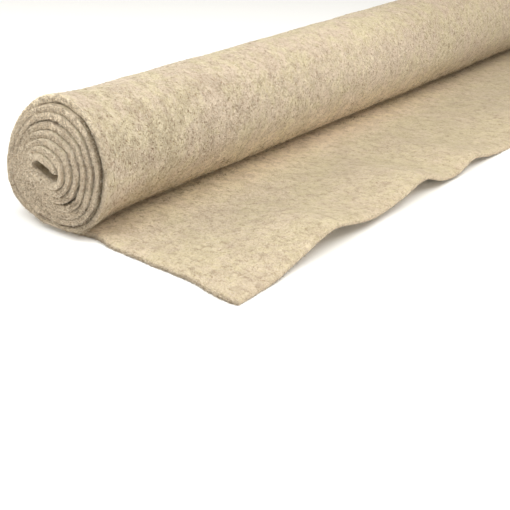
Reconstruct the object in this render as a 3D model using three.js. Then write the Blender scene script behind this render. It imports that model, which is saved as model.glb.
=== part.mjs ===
import * as THREE from 'three';

// A roll of thick needled felt matting: one strip wound round an open eye, with a
// loose end lying in front. Millimetres, degrees and turns; +Y along the roll, +X
// toward the loose end, +Z up.

// Driving dimensions
const WIDTH = 1000; // of the mat, along the roll
const TURNS = 7.83; // from the inner tip to where the strip meets the floor
const TAIL = 217.5; // of loose end, from the eye's middle to the cut
const FELT = 6.4; // thickness of the loose end
const GAP = 0.55; // air between one turn and the next
const EYE = { halfLength: 10.6, halfHeight: 2.4, tilt: -20 };
const SETTLE = 1.0; // the roll's weight presses its lowest turn flat by this much
const FLOOR_ANGLE = 270; // the side of the roll that the strip leaves by

// Each turn takes this much of the roll's radius. The rows make the roll off centre,
// oval and a little three-cornered: so many waves round it, tallest at an angle.
const PITCH = 6.6;
const SHAPE = [
  { waves: 1, by: 0.38, at: -41 },
  { waves: 2, by: 0.55, at: 54 },
  { waves: 3, by: 0.34, at: 69 },
];
const FLAT = { at: -45, reach: 20, by: 1.1 }; // it is wound closer toward the loose end

// Places where the winding is slack: the turns from this one outward stand off.
const SLACK = [
  { name: 'pocket', at: -50, reach: 27, by: 2.4, fromTurn: 3.35 },
  { name: 'inner bundle', at: 140, reach: 50, by: 0.8, fromTurn: 4.75 },
  { name: 'heel', at: 222, reach: 30, by: 1.6, fromTurn: 6.9 },
  { name: 'outer wraps', at: 20, reach: 35, by: 1.1, fromTurn: 5.6 },
  { name: 'crown', at: 95, reach: 28, by: 1, fromTurn: 6.3 },
];
const SLACK_EASE = 0.3; // turns over which a slack place opens

// The near end has splayed: each turn between these two takes so much more.
const SPLAY = [
  { name: 'top', at: 98, reach: 34, by: 0.9, fromTurn: 3.2, toTurn: TURNS },
  { name: 'left', at: 208, reach: 24, by: 1.1, fromTurn: 3.2, toTurn: TURNS },
  { name: 'heel', at: 240, reach: 21, by: 1.55, fromTurn: 4.7, toTurn: TURNS },
  { name: 'right', at: -45, reach: 20, by: 1.1, fromTurn: 0, toTurn: 6.3 },
];
const SPLAY_LENGTH = 26; // from the near edge, it has eased to a third by here

// How far the near edge stands out of the end, by turns inward from the floor: the
// core has slid out, and the outer wrap sits back behind the turn below it.
const SLIDE = [
  { inward: 0, out: 0 },
  { inward: 0.1, out: 3.5 },
  { inward: 0.2, out: 1 },
  { inward: 0.45, out: 3 },
  { inward: 0.75, out: 2.2 },
  { inward: 0.98, out: 3.4 },
  { inward: 1.2, out: 4.8 },
  { inward: 4, out: 9.5 },
  { inward: TURNS, out: 17 },
];
const SKEW = { out: 8, toward: 232, radius: 65 }; // the end leans out at the lower left

// The cut end lifts off the floor in ripples, by distance from the near edge.
const RIPPLES = [
  { along: 0, lift: 0 },
  { along: 38, lift: 0.4 },
  { along: 80, lift: 8.4 },
  { along: 104, lift: 16 },
  { along: 130, lift: 19 },
  { along: 168, lift: 10.7 },
  { along: 198, lift: 7.4 },
  { along: 240, lift: 11.6 },
  { along: 284, lift: 17.4 },
  { along: 318, lift: 7 },
  { along: 347, lift: 3.7 },
  { along: 386, lift: 10.7 },
  { along: 420, lift: 4.4 },
  { along: 458, lift: 0 },
  { along: 515, lift: 2.5 },
  { along: 560, lift: 8.5 },
  { along: 606, lift: 3 },
  { along: 655, lift: 0.3 },
  { along: 715, lift: 5 },
  { along: 775, lift: 12 },
  { along: 830, lift: 5.5 },
  { along: 880, lift: 1.2 },
  { along: 935, lift: 3.4 },
  { along: WIDTH, lift: 0 },
];
const RIPPLE_START = 66; // from the eye's middle; the strip lies flat before this
const RIPPLE_RISE = 1.35; // above 1 the lift gathers near the cut

// The near edge of the loose end bows in beside the roll and out before its corner, and
// the cut runs out a little to that corner.
const EDGE_BOWS = [
  { at: 40, reach: 11, out: -4.5, fade: 25 },
  { at: 204, reach: 20, out: 7, fade: 40 },
];
const CORNER = { out: 2, fade: 38, from: 150 };

// How finely it is faceted
const STEPS_PER_TURN = 40;
const PLAIN_COLUMNS = [0, 1]; // shares of the width at which a row has stations
const SPLAYED_COLUMNS = [0, 0.014, 0.032, 0.06, 0.12, 1];
const OUTER_COLUMNS = [0, 0.014, 0.032, 0.06, 0.12, 0.4, 0.7, 1];
const TAIL_ROWS = 11; // from the roll to the cut

const radians = THREE.MathUtils.degToRad;
const smoothstep = THREE.MathUtils.smoothstep;

function wrapped(angle) {
  return THREE.MathUtils.euclideanModulo(angle + 180, 360) - 180;
}

function hill(distance, reach) {
  return Math.exp(-0.5 * (distance / reach) ** 2);
}

// A smooth curve through the rows of a table.
function along(rows, key, value, at) {
  const last = rows.length - 1;
  let i = rows.findIndex((row) => row[key] > at) - 1;
  if (i < 0) i = at <= rows[0][key] ? 0 : last - 1;
  const slope = (j) => {
    if (j === 0 || j === last) return 0;
    return (rows[j + 1][value] - rows[j - 1][value]) / (rows[j + 1][key] - rows[j - 1][key]);
  };
  const span = rows[i + 1][key] - rows[i][key];
  const t = THREE.MathUtils.clamp((at - rows[i][key]) / span, 0, 1);
  const start = rows[i][value] * (1 + 2 * t) * (1 - t) ** 2 + slope(i) * span * t * (1 - t) ** 2;
  const end = rows[i + 1][value] * (3 - 2 * t) * t * t + slope(i + 1) * span * t * t * (t - 1);
  return start + end;
}

function angleAt(turn) {
  return FLOOR_ANGLE - 360 * (TURNS - turn);
}

function pitchAt(angle) {
  const wave = (row) => row.by * Math.cos(row.waves * radians(angle - row.at));
  const flat = FLAT.by * hill(wrapped(angle - FLAT.at), FLAT.reach);
  return PITCH + SHAPE.reduce((sum, row) => sum + wave(row), 0) - flat;
}

// What the splay adds at the near end; opened(row) says how far a row has opened.
function splayAt(angle, share, opened) {
  const fade = Math.exp(-(share * WIDTH) / SPLAY_LENGTH);
  const place = (row) => row.by * hill(wrapped(angle - row.at), row.reach);
  return SPLAY.reduce((sum, row) => sum + place(row) * opened(row), 0) * fade;
}

// Distance from the eye's centre to the felt's middle surface, square to that surface.
function reachAt(turn, share) {
  const angle = angleAt(turn);
  const tilt = radians(angle - EYE.tilt);
  const eye = Math.hypot(EYE.halfLength * Math.cos(tilt), EYE.halfHeight * Math.sin(tilt));
  const slack = SLACK.reduce((sum, row) => {
    const opened = smoothstep(turn, row.fromTurn, row.fromTurn + SLACK_EASE);
    return sum + row.by * opened * hill(wrapped(angle - row.at), row.reach);
  }, 0);
  const splayed = splayAt(angle, share, (row) => {
    return Math.max(0, Math.min(turn, row.toTurn) + 0.5 - row.fromTurn);
  });
  return eye + pitchAt(angle) * (turn + 0.5) + slack + splayed;
}

function thicknessAt(turn, share) {
  const angle = angleAt(turn);
  const splayed = splayAt(angle, share, (row) => {
    const ended = smoothstep(turn, row.toTurn, row.toTurn + 0.5);
    return smoothstep(turn, row.fromTurn, row.fromTurn + 1) * (1 - ended);
  });
  const joinsTail = smoothstep(turn, TURNS - 0.2, TURNS);
  return THREE.MathUtils.lerp(pitchAt(angle) + splayed - GAP, FELT, joinsTail);
}

// A point of the winding's section, so far outside the felt's middle surface.
function woundPoint(turn, share, offset) {
  const step = 0.002;
  const angle = radians(angleAt(turn));
  const reach = reachAt(turn, share) + offset;
  const rise = reachAt(turn + step, share) - reachAt(turn - step, share);
  const turning = rise / (2 * step * 2 * Math.PI);
  const x = reach * Math.cos(angle) - turning * Math.sin(angle);
  const z = reach * Math.sin(angle) + turning * Math.cos(angle);
  return new THREE.Vector2(x, z);
}

const LANDING = woundPoint(TURNS, 1, FELT / 2); // where the strip meets the floor
const FLOOR = LANDING.y + SETTLE;

function slideAt(turn) {
  const inward = TURNS - turn;
  const lean = Math.cos(radians(angleAt(turn) - SKEW.toward));
  const skewed = smoothstep(inward, 0, 0.3) * (reachAt(turn, 1) / SKEW.radius);
  return along(SLIDE, 'inward', 'out', inward) + SKEW.out * lean * skewed;
}

// One row of stations across the mat, with the felt's two faces at each.
function woundRow(turn, columns) {
  const near = -WIDTH / 2 - slideAt(turn);
  const pressed = FELT - SETTLE;
  const laps = Math.floor(TURNS - turn + 0.5); // of the mat that lie under this one
  const rest = laps * (pressed + GAP);
  return columns.map((share) => {
    const half = thicknessAt(turn, share) / 2;
    const outside = woundPoint(turn, share, half);
    const inside = woundPoint(turn, share, -half);
    const y = near + share * WIDTH;
    return {
      share,
      under: [outside.x, y, Math.max(outside.y - FLOOR, rest)],
      over: [inside.x, y, Math.max(inside.y - FLOOR, rest + pressed)],
    };
  });
}

function tailRow(x, columns) {
  const risen = smoothstep(x, RIPPLE_START, TAIL) ** RIPPLE_RISE;
  const settled = 1 - smoothstep(x, LANDING.x, RIPPLE_START);
  const thick = FELT - SETTLE * settled;
  return columns.map((share) => {
    const fromNear = share * WIDTH;
    const bow = EDGE_BOWS.reduce((sum, row) => {
      return sum + row.out * hill(x - row.at, row.reach) * Math.exp(-fromNear / row.fade);
    }, 0);
    const drawnOut = CORNER.out * hill(fromNear, CORNER.fade) * smoothstep(x, CORNER.from, TAIL);
    const lift = Math.max(0, along(RIPPLES, 'along', 'lift', fromNear)) * risen;
    const y = fromNear - WIDTH / 2 - bow;
    return { share, under: [x + drawnOut, y, lift], over: [x + drawnOut, y, lift + thick] };
  });
}

// Joins two rows with any number of stations each, one strip of triangles a face.
function joinRows(face, rowA, rowB, flip, triangles) {
  let a = 0;
  let b = 0;
  const put = (p, q, r) => triangles.push(...(flip ? [p, r, q] : [p, q, r]));
  while (a < rowA.length - 1 || b < rowB.length - 1) {
    const nextA = a < rowA.length - 1 ? rowA[a + 1].share : Infinity;
    const nextB = b < rowB.length - 1 ? rowB[b + 1].share : Infinity;
    if (nextA <= nextB) {
      put(rowA[a][face], rowB[b][face], rowA[a + 1][face]);
      a += 1;
    } else {
      put(rowA[a][face], rowB[b][face], rowB[b + 1][face]);
      b += 1;
    }
  }
}

function quad(p, q, r, s, triangles) {
  triangles.push(p, q, r, p, r, s);
}

function stripSurface(rows) {
  const triangles = [];
  for (let i = 0; i < rows.length - 1; i += 1) {
    const a = rows[i];
    const b = rows[i + 1];
    joinRows('under', a, b, true, triangles);
    joinRows('over', a, b, false, triangles);
    quad(a[0].under, b[0].under, b[0].over, a[0].over, triangles);
    quad(a.at(-1).over, b.at(-1).over, b.at(-1).under, a.at(-1).under, triangles);
  }
  const first = rows[0];
  for (let j = 0; j < first.length - 1; j += 1) {
    quad(first[j].over, first[j + 1].over, first[j + 1].under, first[j].under, triangles);
  }
  const last = rows.at(-1);
  for (let j = 0; j < last.length - 1; j += 1) {
    quad(last[j].under, last[j + 1].under, last[j + 1].over, last[j].over, triangles);
  }
  return new THREE.BufferGeometry().setAttribute(
    'position',
    new THREE.Float32BufferAttribute(triangles.flat(), 3),
  );
}

function windingColumns(turn) {
  if (turn > TURNS - 1.05) return OUTER_COLUMNS;
  return turn > SPLAY[0].fromTurn - 0.5 ? SPLAYED_COLUMNS : PLAIN_COLUMNS;
}

function rippleColumns() {
  return RIPPLES.flatMap((row, i) => {
    const share = row.along / WIDTH;
    if (i === RIPPLES.length - 1) return [share];
    return [share, (row.along + RIPPLES[i + 1].along) / 2 / WIDTH];
  });
}

function feltMat() {
  const rows = [];
  const steps = Math.floor(TURNS * STEPS_PER_TURN);
  for (let i = steps; i > 0; i -= 1) {
    const turn = i === steps ? 0 : TURNS - i / STEPS_PER_TURN;
    rows.push(woundRow(turn, windingColumns(turn)));
  }
  const columns = rippleColumns();
  for (let i = 0; i <= TAIL_ROWS; i += 1) {
    rows.push(tailRow(THREE.MathUtils.lerp(LANDING.x, TAIL, i / TAIL_ROWS), columns));
  }
  const geometry = stripSurface(rows);
  geometry.computeBoundingBox();
  const { min, max } = geometry.boundingBox;
  geometry.translate(-(min.x + max.x) / 2, -(min.y + max.y) / 2, -min.z);
  geometry.computeVertexNormals();
  const felt = new THREE.MeshStandardMaterial({ color: 0xb7a88c, roughness: 0.97, metalness: 0 });
  const mesh = new THREE.Mesh(geometry, felt);
  mesh.name = 'mat';
  return mesh;
}

const roll = new THREE.Group();
roll.add(feltMat());

export default roll;
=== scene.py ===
"""A roll of thick needled felt matting: one strip wound up, with a loose end in front."""

import bisect
import math
import random
from functools import lru_cache
from itertools import accumulate
from types import SimpleNamespace

import bmesh
import bpy
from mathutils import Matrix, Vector, noise


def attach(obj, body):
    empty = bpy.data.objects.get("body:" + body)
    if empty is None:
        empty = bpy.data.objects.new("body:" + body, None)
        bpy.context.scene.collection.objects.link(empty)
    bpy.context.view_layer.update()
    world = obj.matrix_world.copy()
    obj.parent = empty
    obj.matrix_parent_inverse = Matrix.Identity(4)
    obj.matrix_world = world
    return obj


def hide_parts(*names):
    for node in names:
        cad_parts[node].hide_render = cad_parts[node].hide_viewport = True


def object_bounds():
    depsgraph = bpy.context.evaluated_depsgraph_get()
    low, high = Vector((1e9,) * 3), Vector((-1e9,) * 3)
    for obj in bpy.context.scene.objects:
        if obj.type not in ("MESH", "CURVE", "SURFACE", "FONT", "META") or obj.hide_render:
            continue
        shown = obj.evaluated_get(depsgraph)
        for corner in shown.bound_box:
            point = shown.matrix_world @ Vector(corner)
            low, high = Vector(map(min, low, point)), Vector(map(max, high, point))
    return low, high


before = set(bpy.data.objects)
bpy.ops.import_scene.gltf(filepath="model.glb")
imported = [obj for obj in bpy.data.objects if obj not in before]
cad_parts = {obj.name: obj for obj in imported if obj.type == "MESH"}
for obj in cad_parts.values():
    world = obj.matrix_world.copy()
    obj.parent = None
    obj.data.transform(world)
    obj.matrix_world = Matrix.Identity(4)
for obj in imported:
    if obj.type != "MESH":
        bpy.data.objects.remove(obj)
CAD_LOW, CAD_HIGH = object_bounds()
SCENE = bpy.context.scene


def table(columns, *rows):
    """Rows of values, each under the names of its columns."""
    names = columns.split()
    return [dict(zip(names, row)) for row in rows]


# ---- The winding. Millimetres, degrees and turns, as the part's source has them.
MM = 0.001
WIDTH = 1000.0  # of the mat, along the roll
TURNS = 7.83  # from the inner tip to where the strip meets the floor
TAIL = 217.5  # of loose end, from the eye's middle to the cut
FELT = 6.4  # thickness of the loose end
GAP = 0.55  # air between one turn and the next
EYE = {"half_length": 10.6, "half_height": 2.4, "tilt": -20}
SETTLE = 1.0  # the roll's weight presses its lowest turn flat by this much
OUTER_TURN = TURNS - 1.02  # from here on the strip is the outer wrap
LIP_END = 1.15  # and up to here it is the lip of the eye
FLOOR_ANGLE = 270  # the side of the roll that the strip leaves by

# Each turn takes this much of the roll's radius, and the waves make it uneven.
PITCH = 6.6
SHAPE = table("waves by at", (1, 0.38, -41), (2, 0.55, 54), (3, 0.34, 69))
FLAT = {"at": -45, "reach": 20, "by": 1.1}  # it is wound closer toward the loose end

# Places where the winding is slack: the turns from this one outward stand off.
SLACK = table(
    "name at reach by from",
    ("pocket", -50, 27, 2.4, 3.35),
    ("inner bundle", 140, 50, 0.8, 4.75),
    ("heel", 222, 30, 1.6, 6.9),
    ("outer wraps", 20, 35, 1.1, 5.6),
    ("crown", 95, 28, 1, 6.3),
)
SLACK_EASE = 0.3  # turns over which a slack place opens

# The near end has splayed: each turn between these two takes so much more.
SPLAY = table(
    "name at reach by from to",
    ("top", 98, 34, 0.9, 3.2, TURNS),
    ("left", 208, 24, 1.1, 3.2, TURNS),
    ("heel", 240, 21, 1.55, 4.7, TURNS),
    ("right", -45, 20, 1.1, 0, 6.3),
)
SPLAY_LENGTH = 26  # from the near edge, it has eased to a third by here

# How far the near edge stands out of the end, by turns inward from the floor.
SLIDE = table(
    "inward out",
    (0, 0), (0.1, 3.5), (0.2, 1), (0.45, 3), (0.75, 2.2), (0.98, 3.4), (1.2, 4.8), (4, 9.5),
    (TURNS, 17),
)
SKEW = {"out": 8, "toward": 232, "radius": 65}  # the end leans out at the lower left

# The cut end lifts off the floor in ripples, by distance from the near edge.
RIPPLES = table(
    "along lift",
    (0, 0), (38, 0.4), (80, 8.4), (104, 16), (130, 19), (168, 10.7), (198, 7.4), (240, 11.6),
    (284, 17.4), (318, 7), (347, 3.7), (386, 10.7), (420, 4.4), (458, 0), (515, 2.5),
    (560, 8.5), (606, 3), (655, 0.3), (715, 5), (775, 12), (830, 5.5), (880, 1.2),
    (935, 3.4), (WIDTH, 0),
)
RIPPLE_START = 66  # from the eye's middle; the strip lies flat before this
RIPPLE_RISE = 1.35  # above 1 the lift gathers near the cut
# The near edge is bowed, by distance from the eye's middle.
EDGE_BOWS = table("at reach out fade", (40, 11, -4.5, 25), (204, 20, 7, 40))
CORNER = {"out": 2, "fade": 38, "from": 150}  # the cut runs out to its near corner


def eased(value, start, end):
    """0 up to the start and 1 from the end on, with a soft slope between."""
    share = min(1.0, max(0.0, (value - start) / (end - start)))
    return share * share * (3 - 2 * share)


def mix(a, b, share):
    return a + (b - a) * share


def hill(distance, reach):
    return math.exp(-0.5 * (distance / reach) ** 2)


def wrapped(angle):
    return (angle + 180) % 360 - 180


def lobe(row, angle):
    """1 at the angle of a table's row, falling away to its sides."""
    return hill(wrapped(angle - row["at"]), row["reach"])


def along(rows, key, value, at):
    """A smooth curve through the rows of a table."""
    last = len(rows) - 1
    i = sum(row[key] <= at for row in rows) - 1
    i = min(max(i, 0), last - 1)

    def slope(j):
        if j in (0, last):
            return 0.0
        before, after = rows[j - 1], rows[j + 1]
        return (after[value] - before[value]) / (after[key] - before[key])

    span = rows[i + 1][key] - rows[i][key]
    t = min(1.0, max(0.0, (at - rows[i][key]) / span))
    start = rows[i][value] * (1 + 2 * t) * (1 - t) ** 2
    start += slope(i) * span * t * (1 - t) ** 2
    end = rows[i + 1][value] * (3 - 2 * t) * t * t
    end += slope(i + 1) * span * t * t * (t - 1)
    return start + end


def angle_at(turn):
    return FLOOR_ANGLE - 360 * (TURNS - turn)


def pitch_at(angle):
    waves = (row["by"] * math.cos(row["waves"] * math.radians(angle - row["at"])) for row in SHAPE)
    return PITCH + sum(waves) - FLAT["by"] * lobe(FLAT, angle)


def splay_at(angle, opened):
    """What the splay adds at the very edge; opened(row) says how far a row has opened."""
    return sum(row["by"] * lobe(row, angle) * opened(row) for row in SPLAY)


def reach_parts(turn):
    """Distance from the eye's centre to the felt's middle, and what splay adds to it."""
    angle = angle_at(turn)
    tilt = math.radians(angle - EYE["tilt"])
    eye = math.hypot(EYE["half_length"] * math.cos(tilt), EYE["half_height"] * math.sin(tilt))
    slack = sum(
        row["by"] * eased(turn, row["from"], row["from"] + SLACK_EASE) * lobe(row, angle)
        for row in SLACK
    )
    splayed = splay_at(angle, lambda row: max(0.0, min(turn, row["to"]) + 0.5 - row["from"]))
    return eye + pitch_at(angle) * (turn + 0.5) + slack, splayed


def swelling(row, turn):
    """How far a splayed place thickens the felt at this turn."""
    ended = eased(turn, row["to"], row["to"] + 0.5)
    return eased(turn, row["from"], row["from"] + 1) * (1 - ended)


@lru_cache(maxsize=None)
def wound_station(turn):
    """What a row of the winding needs: its angle, reach and thickness, plain and splayed."""
    step = 0.002
    angle = angle_at(turn)
    plain, splayed = reach_parts(turn)
    before, after = reach_parts(turn - step), reach_parts(turn + step)
    turning = [(after[i] - before[i]) / (4 * math.pi * step) for i in (0, 1)]
    joins_tail = eased(turn, TURNS - 0.2, TURNS)
    swell = splay_at(angle, lambda row: swelling(row, turn))
    return {
        "cos": math.cos(math.radians(angle)),
        "sin": math.sin(math.radians(angle)),
        "reach": (plain, splayed),
        "turning": turning,
        "thickness": mix(pitch_at(angle) - GAP, FELT, joins_tail),
        "swell": swell * (1 - joins_tail),
        "laps": math.floor(TURNS - turn + 0.5),
    }


def wound_point(turn, from_near, side):
    """A point of the winding's section; side is 1 on the outer face and -1 on the inner."""
    here = wound_station(turn)
    fade = math.exp(-max(0.0, from_near) / SPLAY_LENGTH)
    half = (here["thickness"] + here["swell"] * fade) / 2
    reach = here["reach"][0] + here["reach"][1] * fade + side * half
    turning = here["turning"][0] + here["turning"][1] * fade
    x = reach * here["cos"] - turning * here["sin"]
    z = reach * here["sin"] + turning * here["cos"]
    return x, z


LANDING_X, LANDING_Z = wound_point(TURNS, WIDTH, 1)  # where the strip meets the floor
FLOOR = LANDING_Z + SETTLE


@lru_cache(maxsize=None)
def slide_at(turn):
    inward = TURNS - turn
    lean = math.cos(math.radians(angle_at(turn) - SKEW["toward"]))
    skewed = eased(inward, 0, 0.3) * reach_parts(turn)[0] / SKEW["radius"]
    return along(SLIDE, "inward", "out", inward) + SKEW["out"] * lean * skewed


def near_edge(turn):
    """Where along the roll the mat's near edge lies, before the CAD's place is added."""
    return -WIDTH / 2 - slide_at(turn)


# The CAD model stands centred over its origin: its cut's near corner is furthest along X,
# and its core's near edge is furthest toward -Y.
EYE_X = CAD_HIGH.x / MM - TAIL - CORNER["out"]
COUNT = 800  # of the steps in which the winding is measured
STATIONS = [TURNS * i / COUNT for i in range(COUNT + 1)]
SHIFT_Y = CAD_LOW.y / MM - min(near_edge(turn) for turn in STATIONS)


def wound_lengths():
    """How much of the strip is wound up, at each of the stations."""
    points = [wound_point(turn, WIDTH, 0) for turn in STATIONS]
    return list(accumulate(map(math.dist, points, points[1:]), initial=0.0))


LENGTHS = wound_lengths()
WOUND_LENGTH = LENGTHS[-1]
STRIP_LENGTH = WOUND_LENGTH + TAIL - LANDING_X
OUTER_START = LENGTHS[bisect.bisect_right(STATIONS, OUTER_TURN)]


def looked_up(at, places, values):
    """The value at a place, between the two known places on its sides."""
    i = min(max(bisect.bisect_left(places, at), 1), len(places) - 1)
    share = (at - places[i - 1]) / (places[i] - places[i - 1])
    return mix(values[i - 1], values[i], share)


@lru_cache(maxsize=None)
def turn_at(distance):
    """The turn at a distance along the strip; the loose end counts as the last one."""
    return looked_up(min(distance, WOUND_LENGTH), LENGTHS, STATIONS)


@lru_cache(maxsize=None)
def distance_at(turn):
    return looked_up(turn, STATIONS, LENGTHS)


# ---- Unevenness: creases listed one by one, and the felt's own lumps.
# Round the outer wrap: from one angle to another, at a distance from the near edge. A
# trough has depth, a ridge has less than none; breadth is half its width, in mm.
WRAP_CREASES = table(
    "name from to near lean depth breadth",
    ("pinch", -50, 12, 169, 3, 1.3, 3.2),
    ("pinch lip", -44, 4, 178, 4, -0.7, 5),
    ("faint fold", 12, 52, 221, -5, 0.7, 4),
    ("back fold", 140, 196, 610, 9, 1.2, 5),
    ("back lip", 146, 190, 622, 9, -0.8, 6),
    ("far pinch", 60, 105, 868, -6, 0.8, 5),
)
# Long soft dents in the outer wrap, where hands have held the roll.
WRAP_DENTS = table(
    "angle near depth round along",
    (62, 118, 0.9, 16, 40),
    (28, 300, 0.8, 20, 46),
    (84, 470, 1.0, 18, 60),
    (150, 260, 1.2, 22, 55),
    (20, 640, 0.9, 20, 70),
    (172, 800, 1.1, 24, 60),
)
# Across the loose end: troughs that run from the roll toward the ripples of the cut.
TAIL_CREASES = table(
    "near skew depth breadth",
    (100, 0.10, 0.8, 15),
    (215, -0.08, 1.0, 18),
    (352, 0.06, 0.9, 20),
    (600, -0.10, 0.8, 22),
    (860, 0.08, 0.8, 24),
)


def field(point, size, seed):
    """Smooth noise from -1 to 1 with lumps of about that size, in mm."""
    place = Vector(point) / size
    return noise.noise(place + Vector((seed, 3.7 * seed, -1.9 * seed)))


def span_of(value, start, end, ease):
    """1 between start and end, fading over ease outside them."""
    return eased(value, start - ease, start) * (1 - eased(value, end, end + ease))


def wrap_relief(angle, from_near):
    """Troughs and ridges of the outer wrap's outer face, in mm outward."""
    total = 0.0
    for row in WRAP_CREASES:
        middle = (row["from"] + row["to"]) / 2
        offset = wrapped(angle - middle)
        half = (row["to"] - row["from"]) / 2
        line = row["near"] + row["lean"] * offset / half
        if abs(from_near - line) < 4 * row["breadth"] and abs(offset) < half + 20:
            fade = span_of(offset, -half, half, 18)
            total -= row["depth"] * fade * hill(from_near - line, row["breadth"])
    for row in WRAP_DENTS:
        if abs(from_near - row["near"]) < 4 * row["along"]:
            dent = hill(wrapped(angle - row["angle"]), row["round"])
            total -= row["depth"] * dent * hill(from_near - row["near"], row["along"])
    return total


def tail_relief(x, from_near):
    """Troughs of the loose end, in mm upward."""
    total = 0.0
    for row in TAIL_CREASES:
        line = row["near"] + row["skew"] * (x - TAIL)
        total -= row["depth"] * hill(from_near - line, row["breadth"])
    return total * eased(x, 60, 130)


# Unevenness of several kinds: the sizes of its lumps, and how far each moves the felt.
LUMPS = ((70, 0.55), (26, 0.42), (11, 0.28))
WAVER = ((24, 0.8), (10, 0.22))
SIDE_FRAY = ((46, 1.3), (16, 0.9), (7, 0.3))
END_FRAY = ((30, 0.9), (9, 0.5))


def uneven(parts, point, seed):
    """Unevenness of one kind at a point, in mm."""
    return sum(by * field(point, size, seed + i) for i, (size, by) in enumerate(parts))


ROUNDING = {"offset": 1.9, "segments": 3}  # of the cut edges
ROUNDED = 4  # from a cut edge, its rounding has ended by here
# The dips between layers at the cut: deepest at one angle, and shallower under the outer wrap.
VALLEYS = {"at": -25, "reach": 52, "least": 0.1, "most": 0.8, "wrap": 0.5}
FRAY_REACH = 14  # from a cut edge, its wandering has faded by here


def rim_inset(from_near, turn):
    """Flattens a cut edge's rounding where the layers press on each other."""
    from_edge = min(from_near, WIDTH - from_near)
    if not 0 < from_edge < ROUNDED:
        return from_near
    angle = wrapped(angle_at(turn))
    lowest = lobe(VALLEYS, angle)
    least = mix(VALLEYS["least"], VALLEYS["wrap"], eased(turn, TURNS - 1.1, TURNS - 0.95))
    beside_arc = max(arc_share(turn, angle), arc_share(turn - 1, angle))
    depth = mix(least, VALLEYS["most"], max(lowest, beside_arc))
    moved = from_edge * mix(depth, 1, eased(from_edge, ROUNDING["offset"], ROUNDED))
    return moved if from_near < WIDTH / 2 else WIDTH - moved


def edge_fray(from_near, point):
    """How far a cut edge wanders, in mm."""
    from_edge = min(from_near, WIDTH - from_near)
    if from_edge > FRAY_REACH:
        return 0.0
    return uneven(SIDE_FRAY, point, 11) * (1 - eased(from_edge, 0, FRAY_REACH))


# ---- The mat's surface: a place on the flat strip, and where winding takes it.
TOUCH = 0.27  # a layer's fuzz swells each face by this much, so that layers meet
CLOSED = {"by": 0.26, "at": -35, "reach": 75}  # the cut's fuzz fills cracks, except around here
CROWN_FILL = {"by": 0.85, "from": 56, "to": 150}  # and the slack under the outer wrap's crown
ARC = {"turn": 4.4, "from": 80, "to": 160}  # one crack at the top stays open, dark with its shadow and with painted shade
MOUTH = {"at": 245, "reach": 48, "back": 5, "deep": 9}  # the eye's lower lip slopes inward
SHOULDER = {"thinner": 1.7, "reach": 7}  # the loose end thins toward its cut edges


def arc_share(turn, angle):
    """1 along the crack that stays open, beside the layers that face it."""
    beside = 1 - eased(abs(turn - ARC["turn"]), 0.2, 0.3)
    return span_of(angle, ARC["from"], ARC["to"], 15) * beside


@lru_cache(maxsize=None)
def rim_fill(turn, outward):
    """How much the cut's fuzz swells a layer's face into the crack beside it, in mm."""
    angle = wrapped(angle_at(turn))
    facing = turn if outward else turn - 1
    filled = CLOSED["by"] * (1 - lobe(CLOSED, angle))
    filled *= 1 - arc_share(facing, angle)
    if turn > OUTER_TURN and not outward:
        filled += CROWN_FILL["by"] * span_of(angle, CROWN_FILL["from"], CROWN_FILL["to"], 16)
    return filled


def mouth_slope(turn, from_near, side):
    """How far the eye's lower lip slopes inward along the roll, in mm."""
    sloping = lobe(MOUTH, angle_at(turn)) * (1 - side) / 2
    sloping *= eased(turn, 0.3, 0.5) * (1 - eased(turn, 0.95, LIP_END))
    return MOUTH["back"] * sloping * (1 - eased(from_near, 0, MOUTH["deep"]))


def wrap_rise(turn, from_near, place):
    """What creases, dents and lumps add to the outer wrap's outer face, in mm."""
    exposed = eased(turn, OUTER_TURN, OUTER_TURN + 0.08)
    exposed *= 1 - eased(turn, TURNS - 0.16, TURNS - 0.05)
    return exposed * (wrap_relief(angle_at(turn), from_near) + uneven(LUMPS, place, 20))


def wound_place(distance, from_near, side):
    turn = turn_at(distance)
    here = wound_station(turn)
    pressed = FELT - SETTLE
    rest = here["laps"] * (pressed + GAP)
    outer_x, outer_z = wound_point(turn, from_near, 1)
    inner_x, inner_z = wound_point(turn, from_near, -1)
    outer_z = max(outer_z - FLOOR, rest)
    inner_z = max(inner_z - FLOOR, rest + pressed)
    share = (side + 1) / 2
    x = mix(inner_x, outer_x, share)
    z = mix(inner_z, outer_z, share)
    y = near_edge(turn) + rim_inset(from_near, turn)
    if turn < LIP_END and side < 1:
        y += mouth_slope(turn, from_near, side)
    # Neighbouring turns waver together, so that they stay apart.
    waver = uneven(WAVER, (x, y * 0.35, z), 5)
    waver *= 1 - eased(turn, TURNS - 0.3, TURNS - 0.12)
    relief = side * TOUCH
    if turn > OUTER_TURN and side > 0:
        relief += side * wrap_rise(turn, from_near, (x, y, z))
    from_edge = min(from_near, WIDTH - from_near)
    near_rim = 1 - eased(from_edge, 0, 12)
    if near_rim > 0:
        relief += side * rim_fill(turn, side > 0) * (1 - eased(from_edge, 2, 8))
        relief += near_rim * side * 0.35 * field((distance, y, 9 * side), 13, 30)
    lift = waver + relief
    return Vector((x + lift * here["cos"], y, z + lift * here["sin"]))


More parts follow.
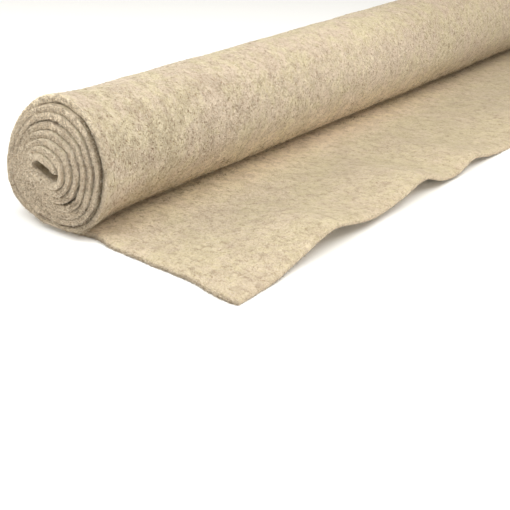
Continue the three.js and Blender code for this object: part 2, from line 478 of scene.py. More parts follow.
def tail_place(distance, from_near, side):
    x = LANDING_X + distance - WOUND_LENGTH
    risen = eased(x, RIPPLE_START, TAIL) ** RIPPLE_RISE
    settled = 1 - eased(x, LANDING_X, RIPPLE_START)
    thick = FELT - SETTLE * settled
    bow = sum(
        row["out"] * hill(x - row["at"], row["reach"]) * math.exp(-max(0, from_near) / row["fade"])
        for row in EDGE_BOWS
    )
    drawn_out = CORNER["out"] * hill(from_near, CORNER["fade"])
    drawn_out *= eased(x, CORNER["from"], TAIL)
    lift = max(0.0, along(RIPPLES, "along", "lift", from_near)) * risen
    y = -WIDTH / 2 + from_near - bow
    free = eased(x, LANDING_X + 20, 70)
    relief = tail_relief(x, from_near) * eased(lift, 0, 4)
    relief += 0.9 * uneven(LUMPS, (x, y, 0), 40)
    from_edge = min(max(0.0, from_near), max(0.0, WIDTH - from_near), max(0.0, TAIL - x))
    thinned = SHOULDER["thinner"] * (1 - eased(from_edge, 0, SHOULDER["reach"])) * free
    over = lift + thick + relief * free - thinned
    under = max(0.0, lift + 0.6 * relief * free)
    return Vector((x + drawn_out, y, mix(over, under, (side + 1) / 2)))


INNER_CORNER = {"along": 2.6, "eases": 12, "across": 12}  # the strip's first corner is rounded


def mat_place(distance, from_near, side):
    """Where winding takes a place of the flat strip, in metres.

    side is 1 on the face that ends up outside, -1 on the other, and further from 0 off the felt.
    """
    if distance < INNER_CORNER["eases"] and from_near < INNER_CORNER["across"]:
        rounded = 1 - eased(distance, 0, INNER_CORNER["eases"])
        rounded *= 1 - eased(from_near, 0, INNER_CORNER["across"])
        distance += INNER_CORNER["along"] * rounded
    if distance <= WOUND_LENGTH:
        place = wound_place(distance, from_near, side)
    else:
        place = tail_place(distance, from_near, side)
    fray = edge_fray(from_near, place)
    place.y += fray if from_near > WIDTH / 2 else -fray
    if distance > STRIP_LENGTH - FRAY_REACH:
        near_cut = eased(distance, STRIP_LENGTH - FRAY_REACH, STRIP_LENGTH)
        place.x += near_cut * uneven(END_FRAY, place, 15)
    return Vector((place.x + EYE_X, place.y + SHIFT_Y, max(place.z, 0.0))) * MM


def wind(bm):
    """Takes everything in bm from the flat strip, in mm, to the wound mat, in metres."""
    for vert in bm.verts:
        vert.co = mat_place(vert.co.x, vert.co.y, -vert.co.z / (FELT / 2))


# ---- Making the mat
STEPS_PER_TURN = 60
TAIL_STEP = 5.2
EDGE_COLUMNS = [0, 4.2, 8, 12.5, 18, 26, 37]  # from each side edge, in mm
HIDDEN_COLUMN = 42  # between columns where no one looks
OPEN_CUTS = 5  # each of those is cut this often where the felt is seen
LONG = 25  # such a column's edges are longer than this
RIM = 4.4  # the rounded edge, and the columns beside it, lie within this of the side


def strip_rows():
    turns = [max(0.0, TURNS - i / STEPS_PER_TURN) for i in range(int(TURNS * STEPS_PER_TURN) + 2)]
    rows = sorted({round(distance_at(turn), 4) for turn in turns})
    tail = STRIP_LENGTH - WOUND_LENGTH
    count = round(tail / TAIL_STEP)
    return [row for row in rows if row == 0 or row > 0.8] + [
        WOUND_LENGTH + tail * (i + 1) / count for i in range(count)
    ]


def strip_columns():
    middle = WIDTH - 2 * EDGE_COLUMNS[-1]
    count = round(middle / HIDDEN_COLUMN)
    inner = [EDGE_COLUMNS[-1] + middle * i / count for i in range(1, count)]
    return EDGE_COLUMNS + inner + [WIDTH - column for column in reversed(EDGE_COLUMNS)]


def flat_slab():
    """The strip before winding: X along it, Y across it, Z through the felt, in mm."""
    rows, columns = strip_rows(), strip_columns()
    bm = bmesh.new()
    bmesh.ops.create_grid(bm, x_segments=len(rows) - 1, y_segments=len(columns) - 1, size=0.5)
    for vert in bm.verts:
        vert.co.x = rows[round((vert.co.x + 0.5) * (len(rows) - 1))]
        vert.co.y = columns[round((vert.co.y + 0.5) * (len(columns) - 1))]
    bmesh.ops.solidify(bm, geom=bm.faces[:], thickness=FELT)
    middle = sum(vert.co.z for vert in bm.verts) / len(bm.verts)
    bmesh.ops.translate(bm, verts=bm.verts[:], vec=(0, 0, -middle))
    bmesh.ops.recalc_face_normals(bm, faces=bm.faces[:])
    return bm


def cut_finely(bm):
    """Closer columns where the felt is seen."""

    def seen(edge):
        start, end = (vert.co for vert in edge.verts)
        across = abs(start.x - end.x) < 0.01 and edge.calc_length() > LONG
        outside = start.z < 0 and start.x > OUTER_START - 8
        return across and (outside or start.x > WOUND_LENGTH - 30)

    open_edges = [edge for edge in bm.edges if seen(edge)]
    bmesh.ops.subdivide_edges(bm, edges=open_edges, cuts=OPEN_CUTS, use_grid_fill=True)


def soften_edges(bm):
    """Rounds the cut edges, and gives them closer rows so that they can wander."""
    sharp = [edge for edge in bm.edges if edge.is_manifold and edge.calc_face_angle() > 1]
    bmesh.ops.bevel(bm, geom=sharp, profile=0.5, affect="EDGES", material=-1, **ROUNDING)

    def at_side(edge):
        ys = [vert.co.y for vert in edge.verts]
        lengthwise = abs(ys[0] - ys[1]) < 0.05 and edge.calc_length() > 2.2
        return lengthwise and (max(ys) < RIM or min(ys) > WIDTH - RIM)

    side_edges = [edge for edge in bm.edges if at_side(edge)]
    bmesh.ops.subdivide_edges(bm, edges=side_edges, cuts=1, use_grid_fill=True)


# Masks that the felt's material reads, and where on the roll they lie, in degrees.
MASKS = ("cut", "outer", "through", "crack", "groove", "ring", "flank", "under")
GROOVE = {"from": -80, "to": 40, "deep": 7}  # the hollow below the outer wrap's near edge, with painted shade
LEFT_RING = {"from": 132, "to": 262, "depth": 0.95, "wide": 1.4}  # painted shade along the second crack, on the left
FLANK = {"at": 24, "reach": 44}  # the roll's side near the front, darkened with painted shade
UNDER = (-48, 0)  # it grows lighter down to the nip, with painted bounce light
CREASE = (40, 92)  # and so does the loose end by the crease, with painted light, by distance from the eye's middle


def crack_beside(x, z):
    """Of the crack that a face looks into: the angle there, and how many turns in it lies."""
    turn = turn_at(x)
    return wrapped(angle_at(turn)), TURNS - turn - (1 if z < 0 else 0)


def groove_at(x, y, z):
    """How far a place lies in the shadowed crack under the outer wrap's near edge."""
    angle, inward = crack_beside(x, z)
    if z > 0 or y > GROOVE["deep"] or not 0 < inward < 1.05:
        return 0.0
    shown = span_of(angle, GROOVE["from"], GROOVE["to"], 25)
    shown *= mix(1, 0.3, eased(angle, -15, 25))
    beneath = eased(inward, 0, 0.1) * (1 - eased(inward, 0.98, 1.05))
    return shown * beneath * eased(-z, 0.2 * FELT, 0.48 * FELT)


def left_ring(x, z):
    """1 along the left of the second crack from outside, on both of its sides."""
    angle, inward = crack_beside(x, z)
    return span_of(angle % 360, LEFT_RING["from"], LEFT_RING["to"], 20) if 1 < inward < 2 else 0.0


def depth_of_crack(x, z):
    """How much painted shade the crack beside a layer's cut edge gets."""
    angle, inward = crack_beside(x, z)
    if inward < 1:
        return mix(0.55, 1.0, span_of(angle, -90, 100, 25))
    arc = arc_share(TURNS - 1 - inward, angle)
    depth = 0.1 + 0.42 * hill(wrapped(angle + 20), 50) + 0.75 * arc
    return max(depth, LEFT_RING["depth"] * left_ring(x, z))


def lit_lip(x, y, z):
    """1 where the second wrap's lip catches the light, past the outer wrap's upper right."""
    turn = turn_at(x)
    if z > 0 or not 1 < TURNS - turn < 2:
        return 0.0
    return span_of(wrapped(angle_at(turn)), -8, 60, 30) * (1 - eased(y, 1.2, 3.2))


def on_outside(x, z):
    """Whether a place of the flat strip is on the roll's outside."""
    return z < 0 and OUTER_START < x < WOUND_LENGTH + 5


def cut_share(x, z, from_edge):
    """1 on a cut edge; it reaches deeper on the eye's lip, and less over the loose end."""
    share = 1 - eased(from_edge, 0.2, 2.2)
    if x > WOUND_LENGTH:
        share *= 1 - 0.75 * eased(z, -0.1 * FELT, 0.4 * FELT)
    elif x < distance_at(LIP_END) and z > -1:
        share = max(share, 1 - eased(from_edge, 2, 11))
    return share


def masks_at(x, y, z):
    """What the felt's material has to know of a place of the flat strip."""
    from_edge = min(y, WIDTH - y, x, STRIP_LENGTH - x)
    masks = dict.fromkeys(MASKS, 0.0)
    masks["cut"] = cut_share(x, z, from_edge)
    masks["outer"] = 1.0 if z < 0 and x < WOUND_LENGTH + 5 else 0.0
    masks["through"] = 2 * z / FELT
    masks["groove"] = groove_at(x, y, z) * (1 - lit_lip(x, y, z))
    masks["ring"] = eased(x, OUTER_START - 60, OUTER_START)
    if x < WOUND_LENGTH:
        masks["through"] *= mix(1, LEFT_RING["wide"], left_ring(x, z))
        # painted shade in the crack beside this cut edge
        masks["crack"] = depth_of_crack(x, z) * (1 - eased(from_edge, 1.5, 5))
        masks["crack"] *= 1 - 0.8 * lit_lip(x, y, z)
    if on_outside(x, z):
        angle = wrapped(angle_at(turn_at(x)))
        masks["crack"] = 0.0
        # painted shade on the roll's side
        masks["flank"] = hill(angle - FLANK["at"], FLANK["reach"])
        # painted bounce light on the roll's low side, growing down to the nip
        masks["under"] = 1 - eased(angle, *UNDER) if abs(angle) < 100 else 0.0
    elif z > 0 and x > WOUND_LENGTH - 40:
        # painted light on the loose end, by the crease under the roll
        masks["under"] = 0.72 * (1 - eased(LANDING_X + x - WOUND_LENGTH, *CREASE))
    return masks


def write_flat_places(bm):
    """Keeps where each corner lies on the flat strip, so that patterns follow the felt."""
    flat = bm.loops.layers.uv.new("flat")
    layers = {name: bm.verts.layers.float.new(name) for name in MASKS}
    for vert in bm.verts:
        for name, value in masks_at(*vert.co).items():
            vert[layers[name]] = value
    for face in bm.faces:
        below = face.calc_center_median().z < 0
        for loop in face.loops:
            place = loop.vert.co
            loop[flat].uv = (place.x * MM + (4.0 if below else 0.0), place.y * MM)


def new_object(name, data):
    made = bpy.data.objects.new(name, data)
    SCENE.collection.objects.link(made)
    return made


def new_piece(name, mesh, material):
    mesh.materials.clear()
    mesh.materials.append(material)
    return new_object(name, mesh)


def mesh_from(bm, name):
    mesh = bpy.data.meshes.new(name)
    bm.to_mesh(mesh)
    bm.free()
    mesh.shade_smooth()
    return mesh


def felt_mat(material):
    bm = flat_slab()
    cut_finely(bm)
    soften_edges(bm)
    write_flat_places(bm)
    wind(bm)
    bmesh.ops.recalc_face_normals(bm, faces=bm.faces[:])
    return new_piece("felt_mat", mesh_from(bm, "felt_mat"), material)


# ---- Loose fibres: drawn over the flat strip, and wound up with it.
OUTSIDE = -FELT / 2  # height of the strip's two faces while it lies flat
INSIDE = FELT / 2
CROSSING = Vector((0.13, 0.21, 0.97))  # hardly ever in line with a strand


class Strands:
    """Many thin three-sided strands in one mesh, drawn over the flat strip."""

    def __init__(self, seed):
        self.draw = random.Random(seed)
        self.corners, self.faces, self.tones = [], [], []

    def add(self, points, thick, tone):
        """One strand through the points, which thins toward its far end."""
        last = len(points) - 1
        path = [mat_place(point.x, point.y, -point.z / (FELT / 2)) for point in points]
        for i, place in enumerate(path):
            ahead = path[min(i + 1, last)] - path[max(i - 1, 0)]
            side = ahead.cross(CROSSING).normalized()
            up = side.cross(ahead).normalized()
            radius = thick * MM / 2 * (1 - 0.7 * i / last)
            self.corners.append(place + radius * up)
            self.corners.append(place + radius * (0.87 * side - 0.5 * up))
            self.corners.append(place - radius * (0.87 * side + 0.5 * up))
            if i:
                first = len(self.corners) - 6
                for a, b in ((0, 1), (1, 2), (2, 0)):
                    self.faces.append((first + a, first + b, first + b + 3, first + a + 3))
        self.tones += [tone] * (3 * len(path))

    def piece(self, name, material):
        mesh = bpy.data.meshes.new(name)
        mesh.from_pydata(self.corners, [], self.faces)
        tones = mesh.attributes.new("tone", "FLOAT", "POINT")
        tones.data.foreach_set("value", self.tones)
        mesh.shade_smooth()
        return new_piece(name, mesh, material)


BEND = 0.6  # most that a curly fibre turns from one of its points to the next


def curl(draw, start, heading, step, count, face, rise):
    """A curly path over one face of the strip, tucked in at both ends."""
    points = []
    place = Vector(start)
    bending = draw.uniform(-BEND, BEND)
    outward = math.copysign(1, face)
    for i in range(count):
        height = rise * math.sin(math.pi * i / (count - 1)) - 0.12
        points.append(Vector((place.x, place.y, face + outward * height)))
        heading += bending
        bending += draw.uniform(-BEND, BEND) * 0.6
        place += Vector((math.cos(heading), math.sin(heading), 0)) * step
    return points


NIP = {"from": -64, "to": -40}  # angles of the roll's side that stands over the tail


def on_wrap(draw):
    return draw.uniform(OUTER_START + 4, WOUND_LENGTH - 8), draw.uniform(4, WIDTH - 4), OUTSIDE


def on_tail(draw):
    return draw.uniform(WOUND_LENGTH + 12, STRIP_LENGTH - 3), draw.uniform(3, WIDTH - 3), INSIDE


def in_nip(draw):
    """Where the roll stands over the loose end: on its side, or on the felt below it."""
    near = WIDTH * draw.random() ** 1.4
    if draw.random() < 0.35:
        return WOUND_LENGTH + draw.uniform(14, 34) - LANDING_X, near, INSIDE
    turn = TURNS - 1 + (draw.uniform(NIP["from"], NIP["to"]) + 90) / 360
    return distance_at(turn), near, OUTSIDE


def curly_fibres(name, material, seed, lots):
    """Loose fibres that lie curled on the felt's faces, lot by lot."""
    strands = Strands(seed)
    draw = strands.draw
    for lot in lots:
        for _ in range(lot["count"]):
            x, y, face = lot["where"](draw)
            count = draw.choice((4, 5, 6))
            step = draw.uniform(0.75, 1.35) * lot["step"]
            rise = draw.uniform(0.2, 1.0) * lot["rise"]
            path = curl(draw, (x, y, 0), draw.uniform(0, 2 * math.pi), step, count, face, rise)
            if path[-1].x < STRIP_LENGTH - 1:
                thick = lot["thick"] * draw.uniform(0.7, 1.4)
                strands.add(path, thick, draw.uniform(*lot["tones"]))
    return strands.piece(name, material)


def rim_place(draw):
    """A place on the cut edge's round section: its height, inset and outward direction."""
    height = draw.uniform(-0.97, 0.97) * FELT / 2
    offset = ROUNDING["offset"]
    over = max(0.0, abs(height) - (FELT / 2 - offset))
    inset = offset - math.sqrt(max(0.0, offset * offset - over * over))
    slope = math.copysign(over / offset, height)
    return height, inset, Vector((0, -math.sqrt(1 - slope * slope), slope))


def any_way(draw):
    return Vector([draw.uniform(-1, 1) for _ in range(3)])


def is_smooth(x, height):
    """Whether the cut edge is tidy there: around the left of the outer wrap."""
    angle = angle_at(turn_at(x))
    return height < -1 and on_outside(x, height) and math.cos(math.radians(angle)) < 0


def edge_fuzz(name, material, seed, count, thick):
    """Short hairs that stand out of both side edges and of the cut end."""
    strands = Strands(seed)
    draw = strands.draw
    for i in range(count):
        height, inset, outward = rim_place(draw)
        along_strip = STRIP_LENGTH * draw.random() ** 0.75
        if i % 9 < 7:
            start = Vector((along_strip, inset, height))
        elif i % 9 == 7:
            start = Vector((along_strip, WIDTH - inset, height))
            outward.y = -outward.y
        else:
            start = Vector((STRIP_LENGTH - inset, draw.uniform(2, WIDTH - 2), height))
            outward = Vector((-outward.y, 0, outward.z))
        first = (outward * draw.uniform(0.2, 0.8) + any_way(draw)).normalized()
        second = (first + outward * 0.2 + 0.8 * any_way(draw)).normalized()
        length = draw.uniform(0.5, 1.5)
        if is_smooth(along_strip, height):
            length *= 0.4
        bend = start + first * length
        path = [start - outward * 0.3, bend, bend + second * length]
        strands.add(path, thick * draw.uniform(0.6, 1.4), draw.random())
    return strands.piece(name, material)


def in_groove(draw):
    """On the second wrap's face, where it stands out past the outer wrap."""
    angle = draw.uniform(GROOVE["from"] - 10, GROOVE["to"] + 20)
    turn = TURNS - 2 + (angle + 90) / 360
    return distance_at(turn), draw.uniform(1.5, 7), OUTSIDE


def edge_tufts(name, material, seed, count, thick):
    """Short soft curls of felt that the cut has left along the near edge."""
    strands = Strands(seed)
    draw = strands.draw
    for _ in range(count):
        height, inset, outward = rim_place(draw)
        start = Vector((STRIP_LENGTH * draw.random() ** 0.8, inset, height))
        inward = TURNS - turn_at(start.x)
        if (height > 1.4 and inward < 1) or (height < -1.4 and 1 < inward < 2):
            continue
        if is_smooth(start.x, height) or (height > 0.8 and start.x < distance_at(LIP_END)):
            continue
        if abs(height) > 0.8 and left_ring(start.x, height) > 0.5:
            continue
        lying = any_way(draw)
        lying -= outward * lying.dot(outward)
        lying.normalize()
        step = draw.uniform(0.5, 0.95)
        path = [start - outward * 0.45]
        for i in range(3):
            lying = (lying + 0.7 * any_way(draw)).normalized()
            place = path[-1] + lying * step
            place.y = min(place.y, inset + 0.1) if i == 2 else place.y
            path.append(place + outward * (0.35 if i == 0 else -0.05))
        strands.add(path, thick * draw.uniform(0.6, 1.3), draw.random())
    return strands.piece(name, material)


# ---- Materials
LOOK = {
    "plain": (0.550, 0.470, 0.303, 1),
    "rosy": (0.533, 0.428, 0.316, 1),
    "inside": (0.488, 0.405, 0.286, 1),
    "ring": (0.77, 0.65, 0.460, 1),
    "shaded": (0.355, 0.278, 0.180, 1),
    # dark blotches and specks, and painted shade in the pits between fibres
    "deep": (0.205, 0.134, 0.076, 1),
    # painted bounce light by the nip
    "painted_glow": (0.720, 0.600, 0.425, 1),
    "pale": (0.69, 0.615, 0.485, 1),
    "cut": (0.735, 0.595, 0.432, 1),
    "cut_pale": (0.840, 0.745, 0.585, 1),
    "cut_deep": (0.215, 0.145, 0.095, 1),
    # painted shade on the roll's front flank, its top past the middle and the low cut edges; also
    # a slightly darker inner face
    "painted_shade_and_tone": (0.755, 0.730, 0.705, 1),
    # painted light: multiplied in by the nip and along the top of the cut edges
    "lift": (1.230, 1.225, 1.220, 1),
    "warm": (0.930, 0.870, 0.790, 1),
    "pink_cast": (1.015, 0.985, 1.000, 1),
    "gold_cast": (1.000, 0.997, 0.945, 1),
    # painted shade in the cracks between turns
    "crack_shade": (0.165, 0.108, 0.068, 1),
    # painted shade in the hollow under the outer wrap's near edge
    "crack": (0.060, 0.037, 0.024, 1),
}


class Graph:
    """Short ways to add shader nodes to a tree."""

    def __init__(self, tree):
        self.tree = tree

    def feed(self, node, values):
        """Sets a node's inputs, or links them to another node; LOOK's colours go by name."""
        for socket, value in values.items():
            value = LOOK[value] if isinstance(value, str) else value
            if isinstance(value, bpy.types.NodeSocket):
                self.tree.links.new(value, node.inputs[socket])
            else:
                node.inputs[socket].default_value = value

    def node(self, kind, inputs=None, **settings):
        made = self.tree.nodes.new(kind)
        for name, value in settings.items():
            setattr(made, name, value)
        self.feed(made, inputs or {})
        return made

    def mask(self, name):
        return self.node("ShaderNodeAttribute", attribute_name=name).outputs["Fac"]

    def math(self, operation, a, b=0.0):
        return self.node("ShaderNodeMath", {0: a, 1: b}, operation=operation).outputs[0]

    def vectors(self, operation, inputs):
        return self.node("ShaderNodeVectorMath", inputs, operation=operation).outputs[0]

    def times(self, first, *others):
        for other in others:
            first = self.math("MULTIPLY", first, other)
        return first

    def sum_of(self, parts):
        """Adds up values, each with its own weight."""
        total = None
        for value, weight in parts:
            part = self.times(value, weight)
            total = part if total is None else self.math("ADD", total, part)
        return total

    def blend(self, share, a, b, way="MIX"):
        settings = {"data_type": "RGBA", "blend_type": way, "clamp_factor": True}
        return self.node("ShaderNodeMix", {"Factor": share, 6: a, 7: b}, **settings).outputs[2]

    def turned(self, place, turn, scale):
        inputs = {"Vector": place, "Rotation": (0, 0, math.radians(turn)), "Scale": scale}
        return self.node("ShaderNodeMapping", inputs, vector_type="POINT").outputs[0]

    def noise(self, place, scale, detail, rough):
        inputs = {"Vector": place, "Scale": scale, "Detail": detail, "Roughness": rough}
        return self.node("ShaderNodeTexNoise", inputs, noise_dimensions="3D").outputs["Fac"]

    def ramp(self, value, low, high, out_low=0.0, out_high=1.0):
        """A soft step: from out_low at low to out_high at high."""
        inputs = {"Value": value, "From Min": low, "From Max": high}
        inputs.update({"To Min": out_low, "To Max": out_high})
        made = self.node("ShaderNodeMapRange", inputs, interpolation_type="SMOOTHSTEP")
        return made.outputs["Result"]

    def ridge(self, value, breadth):
        """1 along the thin curly lines where a noise crosses its middle."""
        away = self.math("ABSOLUTE", self.math("SUBTRACT", value, 0.5))
        return self.ramp(away, breadth, 0.0)


# The felt's needled fibres. A straight kind has a direction in degrees, and scales along
# and across it; a curly kind has one scale, a breadth and a direction.
STRAIGHT_FIBRES = table(
    "turn long thin",
    (8, 300, 1020), (-27, 320, 940), (41, 300, 1060), (-66, 330, 960), (84, 300, 900),
)
CURLY_FIBRES = table("scale breadth turn", (250, 0.035, 15), (350, 0.05, -50), (460, 0.06, 70))


def swayed(graph, place):
    """Moves a place a little to and fro, so that lines drawn over it are bent."""
    bend = graph.node("ShaderNodeTexNoise", {"Vector": place, "Scale": 170.0, "Detail": 1.0})
    drift = graph.vectors("SUBTRACT", {0: bend.outputs["Color"], 1: (0.5, 0.5, 0.5)})
    return graph.vectors("ADD", {0: place, 1: graph.vectors("SCALE", {0: drift, "Scale": 0.008})})


def tangle_group():
    """Needled fibres lying every way, as light lines, dark pits between them painted as shade, and
    height.
    """
    group = bpy.data.node_groups.new("fibre_tangle", "ShaderNodeTree")
    group.interface.new_socket("Place", in_out="INPUT", socket_type="NodeSocketVector")
    for name in ("Light", "Dark", "Height"):
        group.interface.new_socket(name, in_out="OUTPUT", socket_type="NodeSocketFloat")
    graph = Graph(group)
    place = swayed(graph, graph.node("NodeGroupInput").outputs["Place"])
    lines = []
    for row in STRAIGHT_FIBRES:
        stretched = graph.turned(place, row["turn"], (row["long"], row["thin"], 400))
        lines.append(graph.ramp(graph.noise(stretched, 1.0, 1.0, 0.5), 0.58, 0.72))
    for row in CURLY_FIBRES:
        curls = graph.noise(graph.turned(place, row["turn"], (1, 1.25, 1)), row["scale"], 0.6, 0.5)
        lines.append(graph.times(graph.ridge(curls, row["breadth"]), 0.85))
    light = lines[0]
    for line in lines[1:]:
        light = graph.math("MAXIMUM", light, line)
    pits = graph.noise(place, 500.0, 2.0, 0.6)
    # painted shade in the pits where no fibre lies
    dark = graph.times(graph.ramp(pits, 0.50, 0.33), graph.math("SUBTRACT", 1.0, light))
    height = graph.sum_of([(light, 0.55), (pits, 0.9), (dark, -0.3)])
    graph.node("NodeGroupOutput", {"Light": light, "Dark": dark, "Height": height})
    return group


def new_surface(name):
    material = bpy.data.materials.new(name)
    material.use_nodes = True
    return material, Graph(material.node_tree), material.node_tree.nodes["Principled BSDF"]


def felt_inputs(graph, tangle):
    """Everything that the felt's colours and relief are worked out from."""
    flat = graph.node("ShaderNodeUVMap", uv_map="flat").outputs["UV"]
    solid = graph.node("ShaderNodeTexCoord").outputs["Object"]
    place = graph.node("ShaderNodeSeparateXYZ", {0: solid}).outputs
    big_clouds = graph.noise(solid, 16.0, 3.0, 0.6)
    small_clouds = graph.noise(solid, 75.0, 3.0, 0.65)

    def fibres(over):
        return graph.node("ShaderNodeGroup", {"Place": over}, node_tree=tangle).outputs

    return SimpleNamespace(
        **{name: graph.mask(name) for name in MASKS},
        along_roll=place["Y"],
        high=place["Z"],
        fine=fibres(flat),
        coarse=fibres(graph.turned(flat, 33, (0.72, 0.72, 0.72))),
        over_cut=fibres(solid),
        hue=graph.sum_of([(big_clouds, 0.5), (small_clouds, 0.5)]),
        mottles=graph.noise(graph.turned(flat, -20, (1, 1.2, 1)), 46.0, 3.0, 0.62),
        blotches=graph.noise(graph.turned(flat, 10, (1, 1.3, 1)), 120.0, 2.5, 0.6),
        specks=graph.noise(flat, 300.0, 1.0, 0.5),
        streaks=graph.noise(graph.turned(flat, 40, (95, 560, 1)), 1.0, 2.0, 0.6),
        broad=graph.noise(solid, 60.0, 2.0, 0.5),
        smudges=graph.noise(solid, 270.0, 3.0, 0.68),
        # fewer dark marks toward the roll's top, as painted light where it falls straight down; it
        # also flattens the bump there
        calm=graph.ramp(place["Z"], 0.08, 0.125, 1.0, 0.56),
        lively=graph.ramp(place["Y"], -0.5, -0.15, 1.35, 1.0),
    )


def plain_face(graph, felt):
    """The faces' colour before patches and fibres, with painted bounce light on the roll's low
    side and on the loose end by the crease.
    """
    outside = graph.blend(graph.ramp(felt.hue, 0.42, 0.58), "rosy", "plain")
    inside = graph.blend(graph.ramp(felt.streaks, 0.40, 0.62), "inside", "plain")
    face = graph.blend(felt.outer, inside, outside)
    past_near_end = graph.ramp(felt.along_roll, -0.5, -0.3, 0.35, 1.0)
    before_far_end = graph.ramp(felt.along_roll, 0.05, 0.4, 1.0, 0.3)
    painted_glow = graph.times(past_near_end, before_far_end)
    # painted bounce light where the roll stands over the loose end
    return graph.blend(graph.times(felt.under, painted_glow), face, "painted_glow")


def patched(graph, felt, face):
    """Darker patches of three sizes; fewer on the felt's inner face, and fewer on the roll's top,
    as painted light where it falls straight on it.
    """
    patchy = graph.times(graph.ramp(felt.outer, 0, 1, 0.62, 1.0), felt.calm, felt.lively)
    patches = (
        (felt.mottles, (0.58, 0.38), 0.66, "shaded"),
        (felt.blotches, (0.52, 0.32), 0.70, "deep"),
        (felt.specks, (0.40, 0.28), 0.70, "deep"),
    )
    for field_of_patches, limits, most, look in patches:
        share = graph.times(graph.ramp(field_of_patches, *limits), patchy, most)
        face = graph.blend(share, face, look)
    return face


def fibrous(graph, felt, face):
    """Two layers of needled fibres: painted shade in the pits between them, and light upon them.
    """
    strength = graph.times(graph.ramp(felt.outer, 0, 1, 0.35, 1.0), felt.calm, felt.lively)
    for layer, dark, light in ((felt.coarse, 0.80, 0.52), (felt.fine, 1.0, 0.7)):
        face = graph.blend(graph.times(layer["Dark"], strength, dark), face, "deep")
        face = graph.blend(graph.times(layer["Light"], strength, light), face, "pale")
    return face


def toned(graph, felt, face):
    """Broad tones over the faces, each laid over the one before: a random tint, painted shade, a
    darker inner face, and painted light by the nip.
    """
    tint = graph.blend(graph.ramp(felt.hue, 0.40, 0.60), "pink_cast", "gold_cast")
    toward_near = graph.ramp(felt.along_roll, -0.5, -0.05, 1.0, 0.0)
    unmottled = graph.ramp(felt.mottles, 0.60, 0.40, 0.45, 1.0)
    beyond_middle = graph.ramp(felt.along_roll, -0.10, 0.10)
    # by the nip: painted bounce light, except near the near end, where the roll's low side is made
    # warmer and darker
    lower = graph.blend(graph.ramp(felt.along_roll, -0.5, -0.25), "warm", "lift")
    before_middle = graph.ramp(felt.along_roll, -0.05, 0.22, 1.0, 0.0)
    tones = (
        (1.0, tint),
        # painted shade on the roll's side toward the near end
        (graph.times(toward_near, felt.flank, unmottled), "painted_shade_and_tone"),
        # painted shade on the roll's top past the middle, where the light falls off
        (graph.times(beyond_middle, graph.ramp(felt.high, 0.05, 0.12, 0.1, 0.6)), "painted_shade_and_tone"),
        # the felt's inner face a little darker
        (graph.ramp(felt.outer, 0, 1, 0.18, 0.0), "painted_shade_and_tone"),
        # painted bounce light by the nip
        (graph.times(felt.under, before_middle), graph.blend(felt.outer, "lift", lower)),
    )
    for share, tone in tones:
        face = graph.blend(share, face, tone, "MULTIPLY")
    return face


def cut_edge(graph, felt):
    """The cut edges' colour: paler than the faces, with dark pits, painted shade lower down and
    painted light higher up.
    """
    edge = graph.blend(felt.ring, "cut", "ring")
    edge = graph.blend(graph.ramp(felt.smudges, 0.53, 0.34, 0, 0.8), edge, "cut_deep")
    edge = graph.blend(graph.times(felt.over_cut["Dark"], 0.95), edge, "cut_deep")
    edge = graph.blend(graph.times(felt.over_cut["Light"], 0.85), edge, "cut_pale")
    # painted shade lower on the end, and painted light at its top, where the light from above
    # falls
    low = graph.ramp(felt.high, 0.06, 0.112, 1.0, 0.0)
    top = graph.ramp(felt.high, 0.09, 0.115, 0.0, 0.9)
    edge = graph.blend(low, edge, "painted_shade_and_tone", "MULTIPLY")
    return graph.blend(top, edge, "lift", "MULTIPLY")


def with_cracks(graph, felt, colour):
    """Paints shade into the cracks between turns, and into the hollow under the outer wrap's near
    edge.
    """
    toward_crack = graph.math("ABSOLUTE", felt.through)
    toward_crack = graph.math("ADD", toward_crack, graph.times(felt.smudges, 0.5))
    broken = graph.ramp(felt.broad, 0.36, 0.62, 0.4, 1.0)
    # painted shade along the cracks
    crack_shade = graph.times(graph.ramp(toward_crack, 0.72, 1.12), felt.crack, broken)
    hollow = graph.times(felt.groove, graph.ramp(felt.smudges, 0.34, 0.60, 1.0, 0.72))
    colour = graph.blend(crack_shade, colour, "crack_shade")
    return graph.blend(hollow, colour, "crack")


def felt_relief(graph, felt):
    """Fibres and pits as a bumped normal, over the faces and over the cut edges."""
    faces = graph.sum_of([(felt.fine["Height"], 0.7), (felt.coarse["Height"], 0.9)])
    faces = graph.times(faces, felt.calm, graph.ramp(felt.outer, 0, 1, 0.42, 1.0))
    cuts = graph.sum_of([(felt.over_cut["Height"], 1.1), (felt.smudges, 1.2)])
    inputs = {"Factor": felt.cut, 2: faces, 3: cuts}
    height = graph.node("ShaderNodeMix", inputs, data_type="FLOAT")
    inputs = {"Height": height.outputs[0], "Distance": 0.0012, "Strength": 0.75}
    return graph.node("ShaderNodeBump", inputs).outputs[0]


def felt_material(tangle):
    material, graph, surface = new_surface("brown_felt")
    felt = felt_inputs(graph, tangle)
    face = patched(graph, felt, plain_face(graph, felt))
    face = toned(graph, felt, fibrous(graph, felt, face))
    colour = graph.blend(felt.cut, face, cut_edge(graph, felt))
    graph.feed(surface, {"Base Color": with_cracks(graph, felt, colour)})
    graph.feed(surface, {"Normal": felt_relief(graph, felt), "Roughness": 0.95})
    graph.feed(surface, {"Specular IOR Level": 0.12, "Sheen Weight": 0.08, "Sheen Roughness": 0.6})
    return material


def fibre_material(name, dull, bright):
    """Loose fibres, each with its own tone between two colours."""
    material, graph, surface = new_surface(name)
    colour = graph.blend(graph.mask("tone"), dull, bright)
    graph.feed(surface, {"Base Color": colour, "Roughness": 0.7, "Specular IOR Level": 0.25})
    return material


def floor_material():
    material, graph, surface = new_surface("pale_floor")
    look = {"Base Color": (0.94, 0.94, 0.94, 1), "Roughness": 0.9, "Specular IOR Level": 0.1}
    graph.feed(surface, look)
    return material


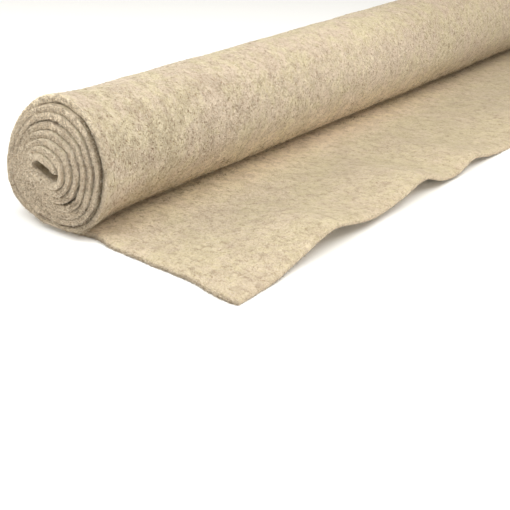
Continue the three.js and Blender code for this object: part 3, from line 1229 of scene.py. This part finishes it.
# ---- Floor, light and camera
def floor():
    bm = bmesh.new()
    bmesh.ops.create_grid(bm, x_segments=1, y_segments=1, size=6.0)
    piece = new_piece("floor", mesh_from(bm, "floor"), floor_material())


SOFTBOXES = table(
    "name from to size power tint",
    ("overhead", (0, -0.8, 1.2), (0, -0.5, 0), 0.9, 9, (0.90, 0.97, 1)),
    ("key", (0.8, -0.06, 1.3), (0, 0, 0), 1.1, 16.5, (1, 0.985, 0.94)),
    ("front", (-0.9, -1.7, 0.7), (0, -0.5, 0.05), 0.9, 9.5, (1, 0.98, 0.93)),
    ("high left", (-1.3, -0.9, 1.1), (0, -0.5, 0.05), 0.9, 10, (1, 0.98, 0.94)),
    ("low fill", (1.5, -0.3, 0.32), (0, 0, 0.03), 0.8, 8, (1, 0.94, 0.85)),
)
SURROUND = {"tint": (1, 0.96, 0.89, 1), "strength": 0.44}
# The camera stands off the loose end's near corner by so many metres, along each axis.
CAMERA = {"off": (0.4261, -0.49324, 0.36335), "tilt": 63.78, "pan": 39.86, "lens": 66.11}


def lights():
    world = bpy.data.worlds.new("studio")
    SCENE.world = world
    world.use_nodes = True
    background = world.node_tree.nodes["Background"]
    background.inputs["Color"].default_value = SURROUND["tint"]
    background.inputs["Strength"].default_value = SURROUND["strength"]
    for row in SOFTBOXES:
        light = bpy.data.lights.new(row["name"], "AREA")
        light.shape = "DISK"
        light.size = row["size"]
        light.energy = row["power"]
        light.color = row["tint"]
        holder = new_object(row["name"], light)
        holder.location = row["from"]
        aim = Vector(row["to"]) - Vector(row["from"])
        holder.rotation_euler = aim.to_track_quat("-Z", "Y").to_euler()


def camera():
    lens = bpy.data.cameras.new("view")
    lens.sensor_width = 36.0
    lens.lens = CAMERA["lens"]
    lens.clip_start = 0.01
    holder = new_object("view", lens)
    across, back, up = CAMERA["off"]
    holder.location = ((EYE_X + TAIL) * MM + across, (SHIFT_Y - WIDTH / 2) * MM + back, up)
    holder.rotation_euler = (math.radians(CAMERA["tilt"]), 0, math.radians(CAMERA["pan"]))
    SCENE.camera = holder
    SCENE.view_settings.view_transform = "Standard"


camera()
lights()
floor()
TANGLE = tangle_group()
MAT = felt_mat(felt_material(TANGLE))
LOT_COLUMNS = "where count step rise thick tones"
PALE_LOTS = table(
    LOT_COLUMNS,
    (on_wrap, 5600, 1.15, 0.8, 0.3, (0.1, 1.0)),
    (on_tail, 1200, 1.6, 0.35, 0.3, (0.0, 0.6)),
    (in_nip, 900, 1.6, 1.6, 0.3, (0.0, 0.8)),
    (in_groove, 450, 0.9, 1.5, 0.32, (0.0, 0.3)),
)
BROWN_LOTS = table(
    LOT_COLUMNS,
    (on_wrap, 2900, 1.0, 0.5, 0.34, (0.2, 1.0)),
    (on_tail, 400, 1.2, 0.2, 0.3, (0.6, 1.0)),
    (in_groove, 1500, 0.9, 1.3, 0.36, (0.0, 0.7)),
    (in_nip, 1300, 1.5, 1.8, 0.34, (0.2, 1.0)),
)
PALE = fibre_material("pale_fibre", (0.52, 0.44, 0.31, 1), (0.80, 0.74, 0.60, 1))
BROWN = fibre_material("brown_fibre", (0.13, 0.09, 0.055, 1), (0.36, 0.28, 0.19, 1))
FUZZ = fibre_material("fuzz_fibre", (0.24, 0.18, 0.12, 1), (0.74, 0.65, 0.51, 1))
TUFT = fibre_material("tuft_fibre", (0.36, 0.27, 0.19, 1), (0.80, 0.70, 0.55, 1))
FIBRES = [
    curly_fibres("pale_fibres", PALE, 3, PALE_LOTS),
    curly_fibres("brown_fibres", BROWN, 4, BROWN_LOTS),
    edge_fuzz("edge_fuzz", FUZZ, 5, 15000, 0.36),
    edge_tufts("edge_tufts", TUFT, 6, 9000, 0.9),
]
for piece in [MAT] + FIBRES:
    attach(piece, "root")
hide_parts("mat")
